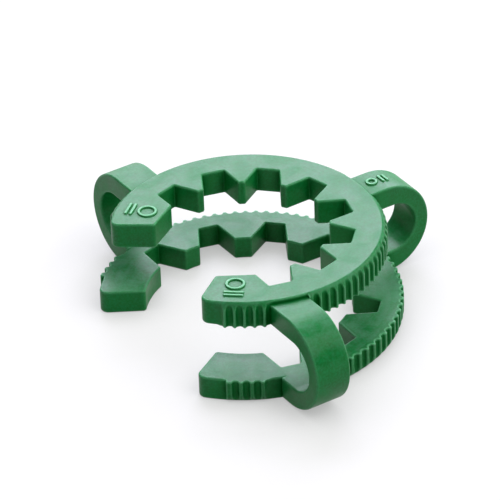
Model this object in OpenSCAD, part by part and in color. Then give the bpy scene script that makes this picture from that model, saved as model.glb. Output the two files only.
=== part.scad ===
// Clip that holds a conical ground glass joint together.
// One springy plastic moulding: two C shaped plates, one above the other, joined by three
// strap loops. The upper plate snaps round the neck of the cone and the lower one round the
// wider socket, under its rim, so that the two glass parts can't slide apart.
// Z is the axis of the glass joint, the clip stands on its lower plate at Z = 0, and the
// mouth that it is pushed on by faces -Y.

/* [Joint] */
// Diameter of the circle through the tooth tips of the upper plate, round the cone's neck
cone_grip_d = 39; // [37:0.5:41]
// Diameter of the circle through the tooth tips of the lower plate, round the socket
socket_grip_d = 49; // [47:0.5:51]

/* [Plates] */
// Diameter of the upper plate over its plain rim
upper_d = 64; // [63:0.5:67]
// Diameter of the lower plate over its plain rim
lower_d = 71; // [70:0.5:74]
// Thickness of the upper plate
upper_t = 6.4; // [5.8:0.1:7.5]
// Thickness of the lower plate
lower_t = 5.8; // [5.6:0.1:7.5]
// Open height between the plates, for the rims of the glass
plate_gap = 12.6; // [11:0.1:15]

/* [Teeth] */
// Places for teeth in a full turn, some of which the mouth takes away
tooth_places = 12; // [11:1:14]
// Notches on each side of the tooth at the back
side_notches = 4; // [3:1:4]
// Height of the upper plate's teeth over the notches between them
upper_tooth_h = 6; // [4:0.1:6.2]
// Height of the lower plate's teeth over the notches between them
lower_tooth_h = 6.8; // [4:0.1:7]
// Width of a tooth tip on the upper plate
upper_tip_w = 1.5; // [1:0.1:2.5]
// Width of a tooth tip on the lower plate
lower_tip_w = 4; // [3:0.1:5]
// Width of a notch floor on the upper plate
upper_floor_w = 5.5; // [4:0.1:6]
// Width of a notch floor on the lower plate
lower_floor_w = 4.7; // [4:0.1:6]

/* [Mouth] */
// Width of the upper mouth between the inner corners of its two ends
upper_mouth_w = 26.2; // [25:0.1:28]
// Width of the lower mouth between the inner corners of its two ends
lower_mouth_w = 30.8; // [30:0.1:33]
// Angle between the two end faces of the upper mouth
upper_mouth_angle = 72; // [60:1:80]
// Angle between the two end faces of the lower mouth
lower_mouth_angle = 62; // [50:1:70]
// How far the upper ends stand back from the tooth circle beside their last notch
upper_end_relief = 0.7; // [0:0.1:1]
// How far the upper ends stand back from the tooth circle at the mouth, to lead the neck in
upper_lead_in = 2; // [0.5:0.1:2.5]
// Radius of the upright outer corners of the ends
end_corner_r = 2; // [1:0.1:2.5]

/* [Ribs] */
// Ribs in a full turn, some of which the mouth takes away
rib_places = 90; // [80:2:96]
// Height of the ribs over the plain rim
rib_h = 1.1; // [0.8:0.1:1.3]
// Radius of the round in which the ribs end, near the outer face
rib_round_r = 2.4; // [1.6:0.1:2.8]
// Distance from a plate's outer face to the end of the ribs
rib_drop = 0.2; // [0.1:0.05:0.6]
// Radius of the round groove between two ribs
groove_r = 0.85; // [0.7:0.05:0.95]
// Depth of the groove between two ribs, which runs out in the round
groove_depth = 0.8; // [0.6:0.05:1]
// Angle from the back of the clip to where the upper plate's ribs end, on each side
upper_ribbed_a = 134; // [130:0.5:135]
// Angle from the back of the clip to where the lower plate's ribs end, on each side
lower_ribbed_a = 131.5; // [130:0.5:135]
// Length of the plain rim that the lower plate has in front of each side loop
lower_plain_l = 3.2; // [0:0.1:4]

/* [Loops] */
// Width of a loop's strap
loop_w = 9.2; // [8:0.1:10]
// Thickness of a loop's two arms, where they meet the plates
loop_arm_t = 5.4; // [4.8:0.1:5.6]
// Thickness of a loop's strap at its farthest point
loop_strap_t = 3.7; // [3:0.1:4.5]
// Distance from the lower plate's plain rim to the outside of a loop
loop_stand = 13; // [12:0.1:15]
// Distance that the two side loops sit forward of the joint's axis
side_loop_forward = 8.3; // [6:0.1:9]

/* [Raised marks] */
// Height of the raised marks
mark_h = 0.35; // [0.2:0.05:0.5]
// Width of the raised lines
mark_line_w = 0.6; // [0.4:0.05:0.8]
// Diameter of the raised ring on each end of the upper plate
end_ring_d = 4.6; // [3.4:0.1:5]
// Angle from the middle of the mouth to the marks on the ends
end_mark_a = 51; // [49:0.5:54]
// Diameter of the raised ring on the back loop
loop_ring_d = 2.8; // [2.2:0.1:3.2]

/* [Hidden] */

$fn = 96;
// How far a cut runs past the face that it leaves through
over = 1;
// Longer than any radius of the clip
reach = upper_d + lower_d;

upper_r = upper_d / 2;
lower_r = lower_d / 2;
lower_top = lower_t;
upper_bottom = lower_top + plate_gap;
upper_top = upper_bottom + upper_t;

tooth_pitch = 360 / tooth_places;
rib_pitch = 360 / rib_places;

loop_z = lower_top + plate_gap / 2;
loop_inner_r = plate_gap / 2;
loop_outer_r = loop_inner_r + loop_arm_t;
loop_far = lower_r + loop_stand;

// Point at distance r from the axis, at angle a from the back of the clip
function polar(r, a) = [-r * sin(a), r * cos(a)];

// Distance forward of the axis to the mouth's inner corners
function mouth_corner_y(corner_r, mouth_w) = -sqrt(corner_r * corner_r - mouth_w * mouth_w / 4);

// One notch between two teeth, as the outline that is cut away
module notch_outline(grip_r, tooth_h, tip_w, floor_w) {
    floor_r = grip_r + tooth_h;
    tip_a = tooth_pitch / 2 - asin(tip_w / 2 / grip_r);
    floor_a = asin(floor_w / 2 / floor_r);
    polygon([
        [0, 0], polar(grip_r, tip_a), polar(floor_r, floor_a),
        polar(floor_r, -floor_a), polar(grip_r, -tip_a)
    ]);
}

// Bore between the teeth, with the notches on both sides of the tooth at the back
module bore_outline(grip_r, tooth_h, tip_w, floor_w) {
    circle(r = grip_r);
    for (side = [0, 1], i = [0 : side_notches - 1]) mirror([side, 0])
        rotate((i + 0.5) * tooth_pitch) notch_outline(grip_r, tooth_h, tip_w, floor_w);
}

// Opening between the two ends, and what is cut from their inner faces. Those faces stand
// back from the tooth circle by relief beside the last notch, and by lead_in at the mouth.
module mouth_outline(grip_r, mouth_w, mouth_angle, relief, lead_in) {
    mouth_corner = [mouth_w / 2, mouth_corner_y(grip_r + lead_in, mouth_w)];
    notch_corner = polar(grip_r + relief, -side_notches * tooth_pitch);
    in_notch = notch_corner + 0.2 * (notch_corner - mouth_corner);
    outside = mouth_corner + reach * [tan(mouth_angle / 2), -1];
    right_side = lead_in > 0 ? [in_notch, mouth_corner, outside] : [mouth_corner, outside];
    for (side = [0, 1]) mirror([side, 0]) polygon(concat([[0, 0]], right_side, [[0, -reach]]));
}

// What rounds the upright outer corner of the end at +X, as the outline that is cut away.
// The round touches the end face and the plain rim.
module corner_outline(plate_r, corner_r, mouth_w, mouth_angle) {
    along = [sin(mouth_angle / 2), -cos(mouth_angle / 2)];
    into = [cos(mouth_angle / 2), sin(mouth_angle / 2)];
    inner_corner = [mouth_w / 2, mouth_corner_y(corner_r, mouth_w)];
    depth = inner_corner * into + end_corner_r;
    round_r = plate_r - end_corner_r;
    centre = depth * into + sqrt(round_r * round_r - depth * depth) * along;
    difference() {
        polygon([
            centre, centre - end_corner_r * into,
            centre + 2 * end_corner_r * (along - into),
            centre * (plate_r + end_corner_r) / round_r
        ]);
        translate(centre) circle(r = end_corner_r);
    }
}

// One plate, with its face towards the other plate at Z = 0 and its outer face at Z = t.
// The ribs stand at phase, phase + 1, and so on, in rib pitches from the back.
module plate(plate_r, t, grip_d, tooth_h, tip_w, floor_w,
        mouth_w, mouth_angle, relief, lead_in, ribbed_a, plain_l, phase) {
    grip_r = grip_d / 2;
    difference() {
        union() {
            cylinder(r = plate_r, h = t);
            rib_band(plate_r, t, ribbed_a, plain_l, phase);
        }
        translate([0, 0, -over]) linear_extrude(t + 2 * over) {
            bore_outline(grip_r, tooth_h, tip_w, floor_w);
            mouth_outline(grip_r, mouth_w, mouth_angle, relief, lead_in);
            for (side = [0, 1]) mirror([side, 0])
                corner_outline(plate_r, grip_r + lead_in, mouth_w, mouth_angle);
        }
    }
}

// Ribbed band that stands over the plain rim. It falls back to the plain rim in a round, near
// the plate's outer face, and the grooves run out there in arches. Inside the plate, where the
// round would pass that face, the band ends level with it.
module rib_band(plate_r, t, ribbed_a, plain_l, phase) {
    intersection() {
        rotate_extrude() rib_section(plate_r, t);
        translate([0, 0, -over]) linear_extrude(t + over)
            ribbed_outline(plate_r + rib_h, ribbed_a, plain_l, phase);
    }
}

// Section of the band. The centre of its round lies inside the plate.
module rib_section(plate_r, t) {
    centre_in = rib_round_r - rib_h;
    centre_z = t - rib_drop - sqrt(rib_round_r * rib_round_r - centre_in * centre_in);
    translate([plate_r - over, 0]) square([over + rib_h, centre_z]);
    translate([plate_r - centre_in, centre_z]) circle(r = rib_round_r);
}

// Plan of the band: the sector of the rim that has ribs, less the round grooves, the width
// of each loop, and the plain length in front of each side loop
module ribbed_outline(crest_r, ribbed_a, plain_l, phase) {
    groove_place = crest_r - groove_depth + groove_r;
    last = floor(ribbed_a / rib_pitch - phase - 0.5);
    difference() {
        intersection() {
            circle(r = crest_r);
            polygon(concat([[0, 0]], [for (s = [-1, -0.5, 0, 0.5, 1]) polar(reach, s * ribbed_a)]));
        }
        for (side = [0, 1], i = [-1 : last]) mirror([side, 0])
            rotate((i + phase + 0.5) * rib_pitch) translate([0, groove_place])
                circle(r = groove_r, $fn = 24);
        for (side = [0, 1]) mirror([side, 0])
            translate([0, -side_loop_forward - loop_w / 2 - plain_l])
                square([reach, loop_w + plain_l]);
        translate([-loop_w / 2, 0]) square([loop_w, reach]);
    }
}

// Outside of a loop's side view, raised by a given height: X runs out from the axis, Y is up
module loop_outside(raise) {
    outside_r = loop_outer_r + raise;
    centre_x = loop_far - loop_outer_r;
    translate([centre_x, loop_z]) circle(r = outside_r);
    translate([0, loop_z - outside_r]) square([centre_x, 2 * outside_r]);
}

// Opening of a loop, as tall as the gap between the plates
module loop_opening() {
    centre_x = loop_far - loop_strap_t - loop_inner_r;
    translate([centre_x, loop_z]) circle(r = loop_inner_r);
    translate([-over, loop_z - loop_inner_r]) square([centre_x + over, 2 * loop_inner_r]);
}

// Strap of one loop, from the axis towards +X
module loop_strap() {
    translate([0, loop_w / 2, 0]) rotate([90, 0, 0]) linear_extrude(loop_w) difference() {
        loop_outside(0);
        loop_opening();
    }
}

// Raised mark: a ring, and two bars on its +Y side, about the middle of its length
module mark_outline(ring_d) {
    line_step = 2 * mark_line_w;
    mark_l = ring_d + 2 * line_step + mark_line_w / 2;
    translate([0, (ring_d - mark_l) / 2]) {
        difference() {
            circle(d = ring_d);
            circle(d = ring_d - 2 * mark_line_w);
        }
        for (i = [1 : 2]) translate([0, ring_d / 2 + i * line_step])
            square([ring_d, mark_line_w], center = true);
    }
}

// The back loop and the two side loops. Each arm is sunk half way into its plate's rim.
module loops() {
    upper_root_r = (upper_r + cone_grip_d / 2 + upper_tooth_h) / 2;
    lower_root_r = (lower_r + socket_grip_d / 2 + lower_tooth_h) / 2;
    difference() {
        union() {
            rotate(90) loop_strap();
            for (side = [0, 1]) mirror([side, 0]) translate([0, -side_loop_forward, 0]) loop_strap();
        }
        translate([0, 0, loop_z]) cylinder(r = upper_root_r, h = reach);
        translate([0, 0, -over]) cylinder(r = lower_root_r, h = loop_z + over);
    }
}

// Marks on the two ends of the upper plate
module end_marks() {
    for (side = [0, 1]) mirror([side, 0]) rotate(180 - end_mark_a)
        translate([0, (upper_r + cone_grip_d / 2) / 2, upper_top - over])
            linear_extrude(over + mark_h) mark_outline(end_ring_d);
}

// Mark on the top of the back loop
module loop_mark() {
    intersection() {
        translate([0, loop_far - loop_outer_r, loop_z]) linear_extrude(reach) mark_outline(loop_ring_d);
        translate([loop_w / 2, 0, 0]) rotate([90, 0, 90]) mirror([0, 0, 1]) linear_extrude(loop_w)
            difference() {
                loop_outside(mark_h);
                loop_outside(-over);
            }
    }
}

// The whole moulding
module joint_clip() {
    color("#2e7d46") {
        translate([0, 0, upper_bottom])
            plate(upper_r, upper_t, cone_grip_d, upper_tooth_h, upper_tip_w, upper_floor_w,
                upper_mouth_w, upper_mouth_angle, upper_end_relief, upper_lead_in,
                upper_ribbed_a, 0, 0);
        translate([0, 0, lower_top]) mirror([0, 0, 1])
            plate(lower_r, lower_t, socket_grip_d, lower_tooth_h, lower_tip_w, lower_floor_w,
                lower_mouth_w, lower_mouth_angle, 0, 0,
                lower_ribbed_a, lower_plain_l, 0.5);
        loops();
        end_marks();
        loop_mark();
    }
}

joint_clip();
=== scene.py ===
# %% [markdown]
# # A clip for ground glass joints
#
# The clip is one moulding in green acetal: two C shaped plates with teeth inside and ribs
# outside, and three strap loops that join them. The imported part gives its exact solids. Real
# mouldings have no sharp edges, so this lesson builds the same moulding again with every
# edge rounded, then gives it its plastic, a floor and soft light.

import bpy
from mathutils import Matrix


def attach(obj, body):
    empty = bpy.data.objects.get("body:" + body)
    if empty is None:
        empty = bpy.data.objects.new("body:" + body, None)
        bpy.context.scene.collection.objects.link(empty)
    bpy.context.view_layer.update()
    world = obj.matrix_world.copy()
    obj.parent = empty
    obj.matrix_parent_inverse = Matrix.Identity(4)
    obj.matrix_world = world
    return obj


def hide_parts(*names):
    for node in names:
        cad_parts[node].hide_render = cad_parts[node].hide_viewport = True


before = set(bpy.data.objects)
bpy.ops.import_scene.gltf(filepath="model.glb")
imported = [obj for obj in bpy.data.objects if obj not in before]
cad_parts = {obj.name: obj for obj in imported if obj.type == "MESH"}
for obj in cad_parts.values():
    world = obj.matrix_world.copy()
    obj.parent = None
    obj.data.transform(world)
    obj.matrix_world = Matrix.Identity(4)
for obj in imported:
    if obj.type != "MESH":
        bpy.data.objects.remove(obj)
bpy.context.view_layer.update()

# %% Tools
from math import acos, asin, atan2, ceil, cos, degrees, pi, radians, sin, sqrt, tan

import bmesh
import bpy
import numpy as np
from mathutils import Matrix, Vector

MM = 0.001

# %% [markdown]
# ## Camera
#
# The clip lies on its lower plate and is seen from in front of its right side, from well
# above, through a long lens that keeps its circles nearly free of perspective. The camera is
# placed by the direction that it looks in, and by its distance from the point it looks at.

# %% Camera
VIEW_AZIMUTH = radians(57.95)
VIEW_ELEVATION = radians(33.15)
VIEW_ROLL = radians(-2.12)
VIEW_DISTANCE = 1.109
LENS_MM = 337.8
AIM_POINT = Vector((-7.08, 5.28, 12.45)) * MM

forward = Vector((
    -sin(VIEW_AZIMUTH) * cos(VIEW_ELEVATION),
    cos(VIEW_AZIMUTH) * cos(VIEW_ELEVATION),
    -sin(VIEW_ELEVATION),
))
level_right = Vector((cos(VIEW_AZIMUTH), sin(VIEW_AZIMUTH), 0))
level_up = level_right.cross(forward)
right = cos(VIEW_ROLL) * level_right + sin(VIEW_ROLL) * level_up
up = cos(VIEW_ROLL) * level_up - sin(VIEW_ROLL) * level_right

camera_data = bpy.data.cameras.new("camera")
camera_data.lens = LENS_MM
camera_data.clip_start = 0.05
camera = bpy.data.objects.new("camera", camera_data)
bpy.context.scene.collection.objects.link(camera)
turned = Matrix((right, up, -forward)).transposed().to_4x4()
camera.matrix_world = Matrix.Translation(AIM_POINT - VIEW_DISTANCE * forward) @ turned
bpy.context.scene.camera = camera
print("camera, mm:", [round(v / MM) for v in camera.matrix_world.translation])

# %% [markdown]
# ## Rounded corners
#
# A moulded corner is an arc, because a cutter of its own radius made it. Each outline below
# is a closed path of corners, and each corner has the radius of its arc. Beside its radius a
# corner says how much it belongs to the ribbed band, from 0 to 1, because the band's upper
# edge is rounded in its own way.

# %% Round the corners of a path
CORNER_STEPS = 4
# A path that turns by less than this, in radians, has no corner
STRAIGHT = 0.01
# Most of a side that one corner's arc may use
SIDE_SHARE = 0.49


def polar(r, angle):
    """Point at distance r from the joint's axis, at an angle in degrees from the back to +X."""
    return np.array([r * sin(radians(angle)), r * cos(radians(angle))])


def unit(v):
    return v / np.linalg.norm(v)


def round_corners(corners):
    """Points and band shares of the closed path through corners (point, radius, band)."""
    points, bands = [], []
    for i, (corner, radius, band) in enumerate(corners):
        to_last = corners[i - 1][0] - corner
        to_next = corners[(i + 1) % len(corners)][0] - corner
        toward_last, toward_next = unit(to_last), unit(to_next)
        turn = pi - acos(np.clip(toward_last @ toward_next, -1, 1))
        if radius == 0 or turn < STRAIGHT:
            points.append(corner)
            bands.append(band)
            continue
        room = min(np.linalg.norm(to_last), np.linalg.norm(to_next)) * SIDE_SHARE
        radius = min(radius, room / tan(turn / 2))
        centre = corner + unit(toward_last + toward_next) * radius / cos(turn / 2)
        first = corner + toward_last * radius * tan(turn / 2) - centre
        last = corner + toward_next * radius * tan(turn / 2) - centre
        for k in range(CORNER_STEPS + 1):
            share = k / CORNER_STEPS
            between = sin((1 - share) * turn) * first + sin(share * turn) * last
            points.append(centre + between / sin(turn))
            bands.append(band)
    return np.array(points), np.array(bands)


def inward(points):
    """For each point of a counterclockwise path, how a point moves if its sides move in by 1."""
    side = np.roll(points, -1, axis=0) - points
    side /= np.linalg.norm(side, axis=1)[:, None]
    after = np.stack([-side[:, 1], side[:, 0]], axis=1)
    before = np.roll(after, 1, axis=0)
    return (before + after) / (1 + (before * after).sum(axis=1))[:, None]


# %% [markdown]
# ## Skins
#
# Every solid of the clip is a stack of rings. Two rings with the same number of points have a
# band of four sided faces between them, and a face closes each end of the stack. Rings that
# shrink along a quarter circle make a rounded edge, which costs far fewer faces than a bevel
# worked out afterwards, and never goes wrong in a tight corner.

# %% Skin over a stack of rings
EDGE_STEPS = 4
# Flat border inside each rounded edge, which keeps the shading of the round off the flat face
CAP_BORDER = 0.04


def quarter(steps=EDGE_STEPS):
    """Angles of a quarter circle."""
    return np.linspace(0, pi / 2, steps + 1)


def skin(name, rings, closed=False):
    """Object over rings of points. A closed stack has its last ring next to its first."""
    count, size = len(rings), len(rings[0])
    faces = []
    for k in range(count if closed else count - 1):
        low, high = k * size, (k + 1) % count * size
        for i in range(size):
            j = (i + 1) % size
            faces.append((low + i, low + j, high + j, high + i))
    if not closed:
        faces.append(tuple(range(size - 1, -1, -1)))
        faces.append(tuple(range((count - 1) * size, count * size)))
    mesh = bpy.data.meshes.new(name)
    mesh.from_pydata(np.concatenate(rings).tolist(), [], faces)
    made = bpy.data.objects.new(name, mesh)
    bpy.context.scene.collection.objects.link(made)
    return made


def edge_levels(depth, low_r, high_r):
    """Shift inwards and height of each ring of a slab with rounded edges, from its low face."""
    low = [(low_r * (1 - cos(q)), low_r * (1 - sin(q))) for q in quarter()[::-1]]
    high = [(high_r * (1 - cos(q)), depth - high_r * (1 - sin(q))) for q in quarter()]
    return [(low_r + CAP_BORDER, 0), *low, *high, (high_r + CAP_BORDER, depth)]


def slab(name, points, depth, low_r, high_r, place):
    """Slab over an outline. place turns X, Y and height into a point of the clip."""
    shift = inward(points)
    rings = []
    for inset, height in edge_levels(depth, low_r, high_r):
        flat = points + shift * inset
        rings.append(place(flat[:, 0], flat[:, 1], np.full(len(flat), height)))
    return skin(name, rings)


# %% [markdown]
# ## Sizes
#
# The lower plate grips the outside of the glass socket, and the upper one the neck of the
# cone. Both follow the same plan, so each has a table of the same sizes:
#
# - rim_r is the radius of the plain rim, and depth is how thick the plate is.
# - grip_r is the radius of the circle through the tips of the teeth. tooth is how deep a notch
#   is, and tip and floor are the widths of a tooth's tip and of a notch's floor.
# - mouth is the distance between the two ends, whose faces open at mouth_angle. Only the upper
#   ends are straight inside. They stand back from the circle of the tips, by relief where they
#   start and by lead_in at the mouth, so that the glass can enter.
# - bands are the ribbed stretches of the rim, and first_groove is where the grooves start to be
#   counted, as angles from the back.
# - place puts the plate in the clip. Its heights count from its inner face to its outer one.

# %% Sizes of the clip, in millimetres and degrees
TOOTH_PITCH = 30
SIDE_NOTCHES = 4
RIB_PITCH = 4
RIB_HEIGHT = 1.1
GROOVE_R = 0.85
GROOVE_DEPTH = 0.8
RIDGE_R = 0.35
END_CORNER_R = 2
LOOP_WIDTH = 9.2
LOOP_FORWARD = 8.3
LOOP_FAR = 48.5
LOOP_OUTER_R = 11.7
LOOP_INNER_R = 6.3
LOOP_STRAP = 3.7
LOWER_TOP = 5.8
UPPER_BOTTOM = 18.4
LOOP_MIDDLE = (LOWER_TOP + UPPER_BOTTOM) / 2

UPPER = dict(
    rim_r=32, depth=6.4, grip_r=19.5, tooth=6, tip=1.5, floor=5.5, mouth=26.2, mouth_angle=72,
    relief=0.7, lead_in=2, bands=[(10, 96.9), (114, 134)],
    place=lambda x, y, h: np.stack([x, y, UPPER_BOTTOM + h + 0 * x], axis=1),
)
LOWER = dict(
    rim_r=35.5, depth=5.8, grip_r=24.5, tooth=6.8, tip=4, floor=4.7, mouth=30.8, mouth_angle=62,
    relief=0, lead_in=0, bands=[(8, 96), (116, 131.5)],
    place=lambda x, y, h: np.stack([x, y, LOWER_TOP - h + 0 * x], axis=1),
)
UPPER["first_groove"], LOWER["first_groove"] = RIB_PITCH / 2, RIB_PITCH
print("the plates are", round(UPPER_BOTTOM - LOWER_TOP, 1), "mm apart")

# %% [markdown]
# ## Plates
#
# The right half of a plate's outline runs along the notches to the mouth, out along the end
# face, and back along the ribs. The left half is its mirror image. A notch floor has tighter
# corners than a tooth tip, which has to slide over glass.

# %% Inner half of a plate's outline
TIP_R = 0.55
FLOOR_R = 0.35
MOUTH_R = 1
ARC_STEP = 2


def crossing(a, b, c, d):
    """Point where the line through a and b meets the line through c and d."""
    along, other = b - a, d - c
    share = np.linalg.det([c - a, other]) / np.linalg.det([along, other])
    return a + share * along


def inner_half(p):
    """Corners from the tooth at the back to the mouth's inner corner, on the right side."""
    grip_r, floor_r = p["grip_r"], p["grip_r"] + p["tooth"]
    tip_a = TOOTH_PITCH / 2 - degrees(asin(p["tip"] / 2 / grip_r))
    floor_a = degrees(asin(p["floor"] / 2 / floor_r))
    corners = []
    for i in range(SIDE_NOTCHES):
        middle = (i + 0.5) * TOOTH_PITCH
        corners += [
            (polar(grip_r, middle - tip_a), TIP_R, 0),
            (polar(floor_r, middle - floor_a), FLOOR_R, 0),
            (polar(floor_r, middle + floor_a), FLOOR_R, 0),
            (polar(grip_r, middle + tip_a), TIP_R, 0),
            (polar(grip_r, middle + TOOTH_PITCH / 2), 0, 0),
        ]
    corners.pop()
    mouth_r = grip_r + p["lead_in"]
    mouth_corner = np.array([p["mouth"] / 2, -sqrt(mouth_r**2 - p["mouth"] ** 2 / 4)])
    if p["lead_in"]:
        land = polar(grip_r + p["relief"], SIDE_NOTCHES * TOOTH_PITCH)
        met = crossing(corners[-2][0], corners[-1][0], land, mouth_corner)
        corners[-1] = (met, TIP_R, 0)
    else:
        start = middle + tip_a
        end = 180 - degrees(asin(p["mouth"] / 2 / grip_r))
        steps = ceil((end - start) / ARC_STEP / 2)
        for k in range(1, steps):
            corners.append((polar(grip_r, start + (end - start) * k / steps), 0, 0))
    corners.append((mouth_corner, MOUTH_R, 0))
    return corners


# %% [markdown]
# The ribs are what is left between round grooves. A worn or polished mould has no sharp
# ridge, so each ridge is an arc that touches the two grooves beside it.

# %% Ribs along the rim
GROOVE_STEPS = 4
RIDGE_STEPS = 3
# Angles closer than this, in degrees, are the same
SAME_ANGLE = 0.01


def half_rib():
    """Section from the bottom of a groove to the top of a ridge: distance along the rim, and
    height from the crest."""
    sink = GROOVE_DEPTH - GROOVE_R
    touch = acos((RIDGE_R - sink) / (GROOVE_R + RIDGE_R))
    ridge_x = (GROOVE_R + RIDGE_R) * sin(touch)
    groove = [
        (GROOVE_R * sin(a), -sink - GROOVE_R * cos(a))
        for a in np.linspace(0, touch, GROOVE_STEPS + 1)
    ]
    ridge = [
        (ridge_x - RIDGE_R * sin(a), RIDGE_R * cos(a) - RIDGE_R)
        for a in np.linspace(touch, touch / (2 * RIDGE_STEPS + 1), RIDGE_STEPS + 1)
    ]
    return groove + ridge[1:]


def ribs(p, start, end):
    """Corners of the ribbed rim between two angles, from the larger one to the smaller."""
    crest_r = p["rim_r"] + RIB_HEIGHT
    section = half_rib()
    corners = []
    middles = np.arange(p["first_groove"], end + SAME_ANGLE, RIB_PITCH)
    for middle in middles[middles >= start][::-1]:
        turned = [(middle + degrees(u / crest_r), crest_r + h) for u, h in section[::-1]]
        turned += [(middle - degrees(u / crest_r), crest_r + h) for u, h in section[1:]]
        corners += [(polar(r, a), 0, 1) for a, r in turned if start <= a <= end]
    return corners


# %% Outer half of a plate's outline
STEP_R = 0.3
STEP_DRAFT = 0.1
END_STEPS = 12


def plain_rim(p, start, end):
    """Corners of the plain rim between two angles, from the larger one to the smaller."""
    steps = ceil((end - start) / ARC_STEP)
    return [(polar(p["rim_r"], a), 0, 0) for a in np.linspace(end, start, steps + 1)]


def outer_half(p):
    """Corners from the mouth's outer corner to the middle of the back, on the right side."""
    half_angle = radians(p["mouth_angle"] / 2)
    along = np.array([sin(half_angle), -cos(half_angle)])
    into = np.array([cos(half_angle), sin(half_angle)])
    depth = inner_half(p)[-1][0] @ into + END_CORNER_R
    round_r = p["rim_r"] - END_CORNER_R
    centre = depth * into + sqrt(round_r**2 - depth**2) * along
    first, last = atan2(-into[1], -into[0]), atan2(centre[1], centre[0])
    corners = [
        (centre + END_CORNER_R * np.array([cos(a), sin(a)]), 0, 0)
        for a in np.linspace(first, last, END_STEPS)
    ]
    angle = 90 - degrees(last)
    crest_r = p["rim_r"] + RIB_HEIGHT
    for start, end in p["bands"][::-1]:
        corners += plain_rim(p, end, angle)[1:-1]
        in_groove = abs((end - p["first_groove"]) % RIB_PITCH) < SAME_ANGLE
        if not in_groove:
            corners.append((polar(p["rim_r"], end + STEP_DRAFT), STEP_R, 1))
            corners.append((polar(crest_r, end - STEP_DRAFT), STEP_R, 1))
        corners += ribs(p, start, end)
        angle = start
    return corners + plain_rim(p, 0, angle)[1:-1]


# %% Whole outlines
for p, words in ((UPPER, "upper"), (LOWER, "lower")):
    half = inner_half(p) + outer_half(p)
    mirrored = [(corner * (-1, 1), radius, band) for corner, radius, band in half[::-1]]
    p["outline"], p["band"] = round_corners(half + mirrored)
    print(words, "plate:", len(p["outline"]), "points round its outline")

# %% [markdown]
# A plate has small rounded edges all round. Toward its outer face the ribs fall back in a large
# round, which passes smoothly into the rounded edge, so that the grooves run out in arches.
# Every ring lies at one depth under the outer face. There the round gives a radius, and a
# groove's point keeps its own radius for as long as that is the smaller one. The two meet in
# a soft edge.

# %% Rounds of the rim
OUTER_EDGE_R = 0.45
RIB_ROUND_R = 2.4

# The two rounds touch. These are the distance between their centres, the height from one
# centre to the other, and the depth of the touching point under the outer face.
CENTRE_STEP = RIB_ROUND_R - OUTER_EDGE_R
CENTRE_RISE = sqrt(CENTRE_STEP**2 - (CENTRE_STEP - RIB_HEIGHT) ** 2)
TOUCH_DEPTH = OUTER_EDGE_R * (1 - CENTRE_RISE / CENTRE_STEP)


def edge_inset(under):
    """How far the rounded edge stands back from the plain rim, so deep under the face."""
    sunk = max(OUTER_EDGE_R - under, 0)
    return OUTER_EDGE_R - sqrt(OUTER_EDGE_R**2 - sunk**2)


def rib_inset(under):
    """How far the ribs stand back from their crest, so deep under the face."""
    if under < TOUCH_DEPTH:
        return RIB_HEIGHT + edge_inset(under)
    return RIB_ROUND_R - sqrt(RIB_ROUND_R**2 - (OUTER_EDGE_R + CENTRE_RISE - under) ** 2)


# %% Plates
INNER_EDGE_R = 0.4
RIB_FOOT_R = 0.22
ARCH_SOFT = 0.2
RIM_STEPS = 8


def soft_min(a, b, soft):
    """The smaller of two lengths, with a rounded change from one to the other."""
    return np.minimum(a, b) - np.maximum(soft - abs(a - b), 0) ** 2 / 4 / (soft + 1e-9)


def plate(name, p):
    """A plate with its teeth, ribs and rounded edges."""
    points, band, depth = p["outline"], p["band"], p["depth"]
    shift = inward(points)
    own_r = np.linalg.norm(points, axis=1)
    outward = points / own_r[:, None]
    crest_r = p["rim_r"] + RIB_HEIGHT
    foot_r = INNER_EDGE_R + (RIB_FOOT_R - INNER_EDGE_R) * band
    rings = []

    def ring(flat, height):
        rings.append(p["place"](flat[:, 0], flat[:, 1], height))

    ring(points + shift * (foot_r + CAP_BORDER)[:, None], 0 * band)
    for q in quarter()[::-1]:
        ring(points + shift * (foot_r * (1 - cos(q)))[:, None], foot_r * (1 - sin(q)))
    round_turns = np.linspace(0, asin(CENTRE_RISE / RIB_ROUND_R), RIM_STEPS + 1)
    depths = [OUTER_EDGE_R + CENTRE_RISE - RIB_ROUND_R * sin(q) for q in round_turns]
    depths += [OUTER_EDGE_R * (1 - sin(q)) for q in quarter()[1:]]
    for under in depths:
        inset = rib_inset(under)
        rim_r = soft_min(own_r, crest_r - inset, min(ARCH_SOFT, inset))
        plain = points + shift * edge_inset(under)
        flat = plain + (outward * rim_r[:, None] - plain) * band[:, None]
        ring(flat, depth - under)
    ring(flat + (shift * (1 - band)[:, None] - outward * band[:, None]) * CAP_BORDER, depth)
    return skin(name, rings)


upper_plate = plate("upper_plate", UPPER)
lower_plate = plate("lower_plate", LOWER)
print("plates:", [len(made.data.polygons) for made in (upper_plate, lower_plate)], "faces")

# %% [markdown]
# ## Loops
#
# A loop is a strap bent round in a U. Seen from the side its outside is a half circle and its
# opening a smaller one, whose centre lies farther out, so the strap is thinnest at its
# farthest point. The opening is as tall as the gap between the plates.

# %% Loops
STRAP_EDGE_R = 0.45
ARC_POINTS = 40
# How far from the middle of the clip a strap's arms start, inside the upper and lower plates
UPPER_ROOT = 28.75
LOWER_ROOT = 33.4


def half_circle(centre_x, r, first, last):
    """Points of an arc about the loop's middle height."""
    return [
        np.array([centre_x + r * cos(a), LOOP_MIDDLE + r * sin(a)])
        for a in np.linspace(first, last, ARC_POINTS + 1)
    ]


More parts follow.
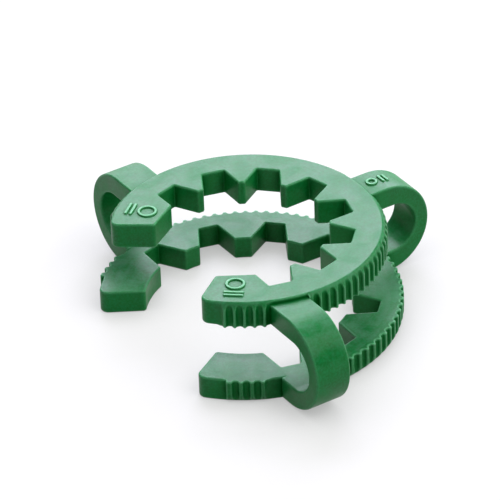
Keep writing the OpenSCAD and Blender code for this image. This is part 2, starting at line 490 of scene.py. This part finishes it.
def strap_outline():
    """Side view of a strap, counterclockwise, from its root in the lower plate."""
    outer = half_circle(LOOP_FAR - LOOP_OUTER_R, LOOP_OUTER_R, -pi / 2, pi / 2)
    inner = half_circle(LOOP_FAR - LOOP_STRAP - LOOP_INNER_R, LOOP_INNER_R, pi / 2, -pi / 2)
    upper_end = [
        np.array([UPPER_ROOT, LOOP_MIDDLE + LOOP_OUTER_R]),
        np.array([UPPER_ROOT, UPPER_BOTTOM]),
    ]
    lower_end = [
        np.array([LOWER_ROOT, LOWER_TOP]),
        np.array([LOWER_ROOT, LOOP_MIDDLE - LOOP_OUTER_R]),
    ]
    return np.array(outer + upper_end + inner + lower_end)


def strap(name, turn):
    """A strap along +X, moved to its place in the clip by turn."""

    def place(x, z, h):
        return turn(x, h - LOOP_WIDTH / 2, z)

    return slab(name, strap_outline(), LOOP_WIDTH, STRAP_EDGE_R, STRAP_EDGE_R, place)


straps = [
    strap("right_loop", lambda x, y, z: np.stack([x, y - LOOP_FORWARD, z], axis=1)),
    strap("left_loop", lambda x, y, z: np.stack([-x, y - LOOP_FORWARD, z], axis=1)),
    strap("back_loop", lambda x, y, z: np.stack([y, x, z], axis=1)),
]
print("loops:", [made.name for made in straps])

# %% [markdown]
# ## Raised marks
#
# Shallow marks were cut into the mould, so they stand proud of the moulding: a ring and two
# bars on each end of the upper plate, and smaller ones on the back loop, where they follow
# the strap over its bend.

# %% Ring and bars
MARK_HEIGHT = 0.35
MARK_SINK = 0.5
MARK_LINE = 0.6
MARK_EDGE_R = 0.1
MARK_CORNER_R = 0.16
RING_STEPS = 56


def mark(name, ring_d, place):
    """A ring with two bars on its +Y side, about the middle of its length."""
    step = 2 * MARK_LINE
    middle = -(2 * step + MARK_LINE / 2) / 2
    deep = MARK_HEIGHT + MARK_SINK

    def placed(x, y, h):
        return place(x, y + middle, h - MARK_SINK)

    section, _ = round_corners([
        (np.array([-MARK_LINE / 2, 0.0]), 0, 0),
        (np.array([MARK_LINE / 2, 0.0]), 0, 0),
        (np.array([MARK_LINE / 2, deep]), MARK_EDGE_R, 0),
        (np.array([-MARK_LINE / 2, deep]), MARK_EDGE_R, 0),
    ])
    from_centre = ring_d / 2 - MARK_LINE / 2 + section[:, 0]
    around = np.linspace(0, 2 * pi, RING_STEPS, endpoint=False)
    rings = [placed(from_centre * cos(a), from_centre * sin(a), section[:, 1]) for a in around]
    made = [skin(name + "_ring", rings, closed=True)]
    for i in (1, 2):
        sides = np.array([(-1, -1), (1, -1), (1, 1), (-1, 1)]) * (ring_d / 2, MARK_LINE / 2)
        sides += (0, ring_d / 2 + i * step)
        bar, _ = round_corners([(side, MARK_CORNER_R, 0) for side in sides])
        made.append(slab(f"{name}_bar_{i}", bar, deep, MARK_EDGE_R, MARK_EDGE_R, placed))
    return made


# %% Raised marks in their places
END_RING_D = 4.6
LOOP_RING_D = 2.8
MARK_FROM_MOUTH = 51
UPPER_TOP = UPPER_BOTTOM + UPPER["depth"]
END_MARK_ANGLE = 180 - MARK_FROM_MOUTH
END_MARK_R = (UPPER["rim_r"] + UPPER["grip_r"]) / 2
LOOP_MARK_Y = LOOP_FAR - LOOP_OUTER_R


def on_end(side):
    """Places a mark on one end of the upper plate, with its +Y side outwards."""
    out = polar(1, END_MARK_ANGLE) * (side, 1)
    across = np.array([out[1], -out[0]])

    def place(x, y, h):
        flat = x[:, None] * across + (y[:, None] + END_MARK_R) * out
        return np.column_stack([flat, UPPER_TOP + h])

    return place


def on_back_loop(x, y, h):
    """Places a mark on the back loop, bent over the strap."""
    angle = np.maximum(np.arcsin(np.clip(y / LOOP_OUTER_R, -1, 1)), 0)
    r = LOOP_OUTER_R + h
    far = np.where(y > 0, r * np.sin(angle), y)
    return np.stack([x, LOOP_MARK_Y + far, LOOP_MIDDLE + r * np.cos(angle)], axis=1)


marks = mark("right_mark", END_RING_D, on_end(1)) + mark("left_mark", END_RING_D, on_end(-1))
marks += mark("back_mark", LOOP_RING_D, on_back_loop)
print("marks:", len(marks), "rings and bars")

# %% [markdown]
# ## One moulding
#
# The plates, straps and marks are joined into one closed skin, because they came out of one
# mould. A Boolean union does that, and leaves the crisp line that the real clip has where a
# strap leaves the rim. The faces are then shaded smooth, but not across edges that turn by
# more than 35 degrees.

# %% Join the solids
SHARP_TURN = radians(35)


def ready(solid):
    """Splits the end faces of a closed skin into triangles, and turns all its faces outwards."""
    work = bmesh.new()
    work.from_mesh(solid.data)
    bmesh.ops.triangulate(work, faces=[f for f in work.faces if len(f.verts) > 4])
    bmesh.ops.recalc_face_normals(work, faces=work.faces)
    work.to_mesh(solid.data)
    work.free()


def result(solid):
    """The mesh of an object with its modifiers worked out."""
    view = solid.evaluated_get(bpy.context.evaluated_depsgraph_get())
    return bpy.data.meshes.new_from_object(view)


parts = [lower_plate, *straps, *marks]
for solid in [upper_plate, *parts]:
    ready(solid)
for solid in parts:
    join = upper_plate.modifiers.new(solid.name, "BOOLEAN")
    join.operation = "UNION"
    join.solver = "MANIFOLD"
    join.object = solid
clip_mesh = result(upper_plate)
for solid in [upper_plate, *parts]:
    bpy.data.objects.remove(solid)

clip_mesh.transform(Matrix.Scale(MM, 4))
clip_mesh.shade_smooth()
clip_mesh.set_sharp_from_angle(angle=SHARP_TURN)
clip = bpy.data.objects.new("clip_moulding", clip_mesh)
bpy.context.scene.collection.objects.link(clip)
weighted = clip.modifiers.new("flat_faces_first", "WEIGHTED_NORMAL")
weighted.keep_sharp = True

check = bmesh.new()
check.from_mesh(clip_mesh)
print("clip:", len(check.faces), "faces,", sum(len(f.verts) - 2 for f in check.faces), "triangles")
print("open edges:", sum(not e.is_manifold for e in check.edges))
print("volume, cm3:", round(check.calc_volume() * 1e6, 3))
check.free()

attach(clip, "root")
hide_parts("joint_clip")

# %% [markdown]
# ## Green acetal
#
# Acetal is a hard, slippery plastic, coloured through. The mould's fine spark eroded surface
# gives it a satin skin: light spreads where it strikes, and at a low angle the skin turns
# pale. One noise can't give all that such a skin shows, so the colour is built in layers, each
# at its own size: a slow change of tone where the plastic flowed, a grain as fine as the
# mould's, a pale painted sheen on the faces that look up, painted shade in the grooves, and
# a painted highlight on the edges and ridges.

# %% Node helper and colours
def linear(code):
    """Linear colour from an sRGB hex code."""
    parts = [int(code[i : i + 2], 16) / 255 for i in (1, 3, 5)]
    return (*[v / 12.92 if v <= 0.04045 else ((v + 0.055) / 1.055) ** 2.4 for v in parts], 1)


def add_node(tree, kind, inputs=(), **settings):
    """Adds a node. An input is a value, or the output of another node that is linked to it."""
    made = tree.nodes.new("ShaderNode" + kind)
    for name, value in settings.items():
        setattr(made, name, value)
    for key, value in dict(inputs).items():
        if isinstance(value, bpy.types.NodeSocket):
            tree.links.new(value, made.inputs[key])
        else:
            made.inputs[key].default_value = value
    return made


def new_material(name):
    """An empty material, its nodes and its output."""
    material = bpy.data.materials.new(name)
    material.use_nodes = True
    material.node_tree.nodes.clear()
    return material, material.node_tree, add_node(material.node_tree, "OutputMaterial")


# %% Tone and grain of the acetal
ACETAL_GREEN = "#038233"
ACETAL_DARK = "#03742D"
ACETAL_SPECK = "#109048"
FLOW_MM = 7
GRAIN_MM = 0.5
SPECK_SHARE = 0.8
# Noise at which a layer starts to show, and at which it shows in full, here and below
TONE_NOISE = (0.3, 0.7)
SPECK_NOISE = (0.4, 0.65)

acetal, tree, output = new_material("green_acetal_spark_eroded")
place = add_node(tree, "TexCoord").outputs["Object"]
flow = add_node(tree, "TexNoise", {
    "Vector": place, "Scale": 1 / (FLOW_MM * MM), "Detail": 3, "Roughness": 0.5, "Distortion": 0.8,
}).outputs["Fac"]
tone = add_node(tree, "ValToRGB", {"Fac": flow})
for i, code in enumerate((ACETAL_DARK, ACETAL_GREEN)):
    tone.color_ramp.elements[i].position = TONE_NOISE[i]
    tone.color_ramp.elements[i].color = linear(code)
# The mould's grain is finer than this, but would not show.
grain = add_node(tree, "TexNoise", {
    "Vector": place, "Scale": 1 / (GRAIN_MM * MM), "Detail": 2, "Roughness": 0.6,
}).outputs["Fac"]
speck = add_node(tree, "MapRange", {
    "Value": grain, 1: SPECK_NOISE[0], 2: SPECK_NOISE[1], 3: 0, 4: SPECK_SHARE,
}).outputs[0]
moulded = add_node(tree, "Mix", {
    0: speck, 6: tone.outputs["Color"], 7: linear(ACETAL_SPECK),
}, data_type="RGBA").outputs[2]
print("acetal: flow every", FLOW_MM, "mm, grain every", GRAIN_MM, "mm")

# %% [markdown]
# A pale sheen is painted on the faces that look up, strongest on the tops. It lies in patches
# and in faint streaks that run round the ring, as the plastic did when it filled the mould.
# For the streaks, each place is given as how far round, how far out and how high it is, and
# the noise is read from that.

# %% Painted sheen on the faces that look up
# Pale colour painted on as sheen, strongest on the faces that look up
ACETAL_PAINTED_SHEEN = "#93BDB0"
PATCH_MM = 3.5
STREAK_L = 9
STREAK_W = 1.1
STREAK_R = 28
STREAK_SHARE = 0.3
PAINTED_SHEEN_NOISE = (0.4, 0.62)
PAINTED_SHEEN_SIDE = 0.03
PAINTED_SHEEN_TOP = 0.16
# Z of the direction of a face that has all the painted sheen of a top
TOP_FACING = 0.9

axes = add_node(tree, "SeparateXYZ", {0: place}).outputs
turn = add_node(tree, "Math", {0: axes["X"], 1: axes["Y"]}, operation="ARCTAN2").outputs[0]
flat = add_node(tree, "VectorMath", {0: place, 1: (1, 1, 0)}, operation="MULTIPLY").outputs[0]
reach = add_node(tree, "VectorMath", {0: flat}, operation="LENGTH").outputs["Value"]
lines = add_node(tree, "CombineXYZ", {"X": turn, "Y": reach, "Z": axes["Z"]}).outputs[0]
lines = add_node(tree, "VectorMath", {
    0: lines, 1: (STREAK_R / STREAK_L, 1 / (STREAK_W * MM), 1 / (STREAK_W * MM)),
}, operation="MULTIPLY").outputs[0]
streak = add_node(tree, "TexNoise", {
    "Vector": lines, "Scale": 1, "Detail": 3, "Roughness": 0.55, "Distortion": 0.4,
}).outputs["Fac"]
patch = add_node(tree, "TexNoise", {
    "Vector": place, "Scale": 1 / (PATCH_MM * MM), "Detail": 4, "Roughness": 0.6, "Distortion": 0.3,
}).outputs["Fac"]
cloud = add_node(tree, "Mix", {0: STREAK_SHARE, 2: patch, 3: streak}).outputs[0]
facing = add_node(tree, "NewGeometry").outputs["Normal"]
upward = add_node(tree, "SeparateXYZ", {0: facing}).outputs["Z"]
# Painted sheen: its share grows as a face turns up, from the sides to the tops
painted_sheen_by_facing = add_node(
    tree, "MapRange", {"Value": upward, 1: 0, 2: TOP_FACING, 3: PAINTED_SHEEN_SIDE, 4: PAINTED_SHEEN_TOP},
).outputs[0]
painted_sheen = add_node(
    tree, "MapRange", {"Value": cloud, 1: PAINTED_SHEEN_NOISE[0], 2: PAINTED_SHEEN_NOISE[1], 3: 0, 4: painted_sheen_by_facing},
).outputs[0]
with_painted_sheen = add_node(tree, "Mix", {
    0: painted_sheen, 6: moulded, 7: linear(ACETAL_PAINTED_SHEEN),
}, data_type="RGBA").outputs[2]
print("bloom: patches of", PATCH_MM, "mm, streaks of", STREAK_L, "x", STREAK_W, "mm")

# %% [markdown]
# Where rays that leave the skin soon meet the clip again, there is a groove. Where rays that
# go into the plastic soon come out again, there is an edge or a ridge. The Ambient Occlusion
# node measures both, the second with its Inside setting. Grooves are painted darker as
# painted shade, and edges and ridges are painted paler as a painted highlight.

# %% Painted shade in grooves and painted highlight on edges
# Dark green painted into grooves and inner corners as painted shade
ACETAL_PAINTED_SHADE = "#005F1C"
# Pale green painted along edges and ridges as a painted highlight
ACETAL_PAINTED_HIGHLIGHT = "#7EDC9E"
GROOVE_MM = 3
GROOVE_SHADE_SHARE = 0.8
EDGE_MM = 0.5
EDGE_HIGHLIGHT_SHARE = 0.68
# Shares of the rays that meet nothing where a groove or an edge starts, and where it is full
GROOVE_FREE = (0.95, 0.6)
EDGE_FREE = (0.95, 0.78)
RAYS = 12

free = add_node(
    tree, "AmbientOcclusion", {"Distance": GROOVE_MM * MM}, samples=RAYS, only_local=True,
).outputs["AO"]
# Painted shade: share of the dark green, which grows as fewer rays get out of a hollow
groove = add_node(tree, "MapRange", {
    "Value": free, 1: GROOVE_FREE[0], 2: GROOVE_FREE[1], 3: 0, 4: GROOVE_SHADE_SHARE,
}).outputs[0]
shaded = add_node(tree, "Mix", {
    0: groove, 6: with_painted_sheen, 7: linear(ACETAL_PAINTED_SHADE),
}, data_type="RGBA").outputs[2]
inner_free = add_node(tree, "AmbientOcclusion", {
    "Distance": EDGE_MM * MM,
}, samples=RAYS, inside=True, only_local=True).outputs["AO"]
# Painted highlight: share of the pale green, which grows on thin edges and ridges
edge = add_node(tree, "MapRange", {
    "Value": inner_free, 1: EDGE_FREE[0], 2: EDGE_FREE[1], 3: 0, 4: EDGE_HIGHLIGHT_SHARE,
}).outputs[0]
colour = add_node(tree, "Mix", {
    0: edge, 6: shaded, 7: linear(ACETAL_PAINTED_HIGHLIGHT),
}, data_type="RGBA").outputs[2]
print("grooves are looked for within", GROOVE_MM, "mm and edges within", EDGE_MM, "mm")

# %% [markdown]
# The skin is smoother in some places than in others, so its sheen is uneven. Little of what
# stands around reaches a groove, so the gloss is taken away there. Two bumps finish it: the
# mould's grain, and the slow waves that the plastic took as it shrank.

# %% Green acetal
ACETAL_IOR = 1.48
ACETAL_GLOSS = 0.22
GROOVE_GLOSS = 0.02
# Share of the painted groove shade at which the gloss is down to that of a groove
GLOSS_GONE = 0.6
SATIN_LEAST = 0.28
SATIN_MOST = 0.47
SATIN_NOISE = (0.4, 0.6)
FLOW_SHARE = 0.45
GRAIN_RISE_MM = 0.015
WAVE_RISE_MM = 0.08

uneven = add_node(tree, "Mix", {0: FLOW_SHARE, 2: cloud, 3: flow}).outputs[0]
satin = add_node(tree, "MapRange", {
    "Value": uneven, 1: SATIN_NOISE[0], 2: SATIN_NOISE[1], 3: SATIN_LEAST, 4: SATIN_MOST,
}).outputs[0]
gloss = add_node(
    tree, "MapRange", {"Value": groove, 1: 0, 2: GLOSS_GONE, 3: ACETAL_GLOSS, 4: GROOVE_GLOSS},
).outputs[0]
relief = add_node(
    tree, "Bump", {"Height": grain, "Strength": 0.6, "Distance": GRAIN_RISE_MM * MM},
)
waves = add_node(tree, "Bump", {
    "Height": flow, "Strength": 0.8, "Distance": WAVE_RISE_MM * MM, "Normal": relief.outputs[0],
})
plastic = add_node(tree, "BsdfPrincipled", {
    "Base Color": colour, "Roughness": satin, "IOR": ACETAL_IOR,
    "Specular IOR Level": gloss, "Normal": waves.outputs[0],
})
tree.links.new(plastic.outputs[0], output.inputs["Surface"])
clip.data.materials.clear()
clip.data.materials.append(acetal)
print(acetal.name, "has", len(tree.nodes), "nodes")

# %% [markdown]
# ## Floor and light
#
# The clip stands on a plain white floor, with a pale wall far around it that ends low, so that
# the room above stays dark. A large soft lamp behind the clip gives the pale sheen on every
# face that looks up, and a lower one the sheen on the loops. Two lamps at the right, one
# overhead and one at the left light the upright faces plainly, so that they stay deep green.
# The floor is lit less than it is seen: a glow that only the camera and reflections meet
# makes it white, and the glow fades close to the clip, which keeps the soft shade where they
# touch.

# %% Floor
FLOOR_SIZE = 6
FLOOR_PAINT = "#8C8C8C"
FLOOR_GLOW = 0.76
SHADE_GLOW = 0.42
SHADE_MM = 20
SHADE_FREE = (0.2, 1)
SHADE_RAYS = 8

corners = np.array([(-1, -1, 0), (1, -1, 0), (1, 1, 0), (-1, 1, 0)]) * FLOOR_SIZE / 2
floor_mesh = bpy.data.meshes.new("floor")
floor_mesh.from_pydata(corners.tolist(), [], [(0, 1, 2, 3)])
floor = bpy.data.objects.new("floor", floor_mesh)
bpy.context.scene.collection.objects.link(floor)
white_floor, tree, output = new_material("white_floor")
paint = add_node(tree, "BsdfDiffuse", {"Color": linear(FLOOR_PAINT)})
ray = add_node(tree, "LightPath").outputs
seen = add_node(tree, "Math", {0: ray["Is Camera Ray"], 1: ray["Is Glossy Ray"]}, operation="ADD")
seen = add_node(tree, "Math", {0: seen.outputs[0], 1: ray["Is Transmission Ray"]}, operation="ADD")
free = add_node(
    tree, "AmbientOcclusion", {"Distance": SHADE_MM * MM}, samples=SHADE_RAYS,
).outputs["AO"]
level = add_node(tree, "MapRange", {
    "Value": free, 1: SHADE_FREE[0], 2: SHADE_FREE[1], 3: SHADE_GLOW, 4: FLOOR_GLOW,
}).outputs[0]
strength = add_node(tree, "Math", {0: seen.outputs[0], 1: level}, operation="MULTIPLY")
glow = add_node(tree, "Emission", {"Strength": strength.outputs[0]})
both = add_node(tree, "AddShader", {0: paint.outputs[0], 1: glow.outputs[0]})
tree.links.new(both.outputs[0], output.inputs["Surface"])
floor.data.materials.append(white_floor)
print("floor:", FLOOR_SIZE, "m square")

# %% Room
WALL_WHITE = 1.0
# Heights over the floor, in degrees, at which the wall ends and the room is dark
WALL_TOP = 6
WALL_FADE = 12
ROOM_DARK = 0.02

world = bpy.data.worlds.new("studio")
bpy.context.scene.world = world
world.use_nodes = True
tree = world.node_tree
tree.nodes.clear()
output = add_node(tree, "OutputWorld")
direction = add_node(tree, "TexCoord").outputs["Generated"]
height = add_node(tree, "SeparateXYZ", {0: direction}).outputs["Z"]
room = add_node(tree, "MapRange", {
    "Value": height, 1: sin(radians(WALL_TOP)), 2: sin(radians(WALL_FADE)),
    3: WALL_WHITE, 4: ROOM_DARK,
}).outputs[0]
background = add_node(tree, "Background", {"Strength": room})
tree.links.new(background.outputs[0], output.inputs["Surface"])
print("wall: white up to", WALL_TOP, "degrees")


# %% Lamps
SOFTBOX_AWAY = 2.4
SOFTBOX_COOL = "#EDE9FF"
SOFTBOX_WHITE = "#FFFFFF"


def softbox(name, side, elevation, width, height, radiance, tint):
    """A soft lamp that looks at the clip. Side 0 is at the camera, 90 at its right. Its width
    and height are in metres, and its energy follows from its radiance."""
    a, e = VIEW_AZIMUTH + radians(side), radians(elevation)
    away = Vector((sin(a) * cos(e), -cos(a) * cos(e), sin(e)))
    data = bpy.data.lights.new(name, "AREA")
    data.shape = "RECTANGLE"
    data.size, data.size_y = width, height
    data.energy = radiance * pi * width * height
    data.color = linear(tint)[:3]
    lamp = bpy.data.objects.new(name, data)
    bpy.context.scene.collection.objects.link(lamp)
    lamp.location = away * SOFTBOX_AWAY
    lamp.rotation_mode = "QUATERNION"
    lamp.rotation_quaternion = away.to_track_quat("Z", "Y")
    lamp.visible_camera = False
    print(name, round(data.energy, 1), "W")


softbox("back_softbox", 180, 38, 1.8, 1.5, 8.2, SOFTBOX_COOL)
softbox("low_softbox", 180, 14, 1.5, 1.0, 2.6, SOFTBOX_COOL)
softbox("right_softbox", 60, 50, 1.5, 1.5, 3.0, SOFTBOX_WHITE)
softbox("side_softbox", 112, 34, 1.5, 1.2, 3.0, SOFTBOX_WHITE)
softbox("top_softbox", 0, 85, 1.5, 1.5, 0.5, SOFTBOX_WHITE)
softbox("left_softbox", -60, 50, 1.5, 1.5, 0.8, SOFTBOX_WHITE)

# %% [markdown]
# ## Result
#
# The colours are shown as they are written.

# %% Finish
bpy.context.scene.view_settings.view_transform = "Standard"
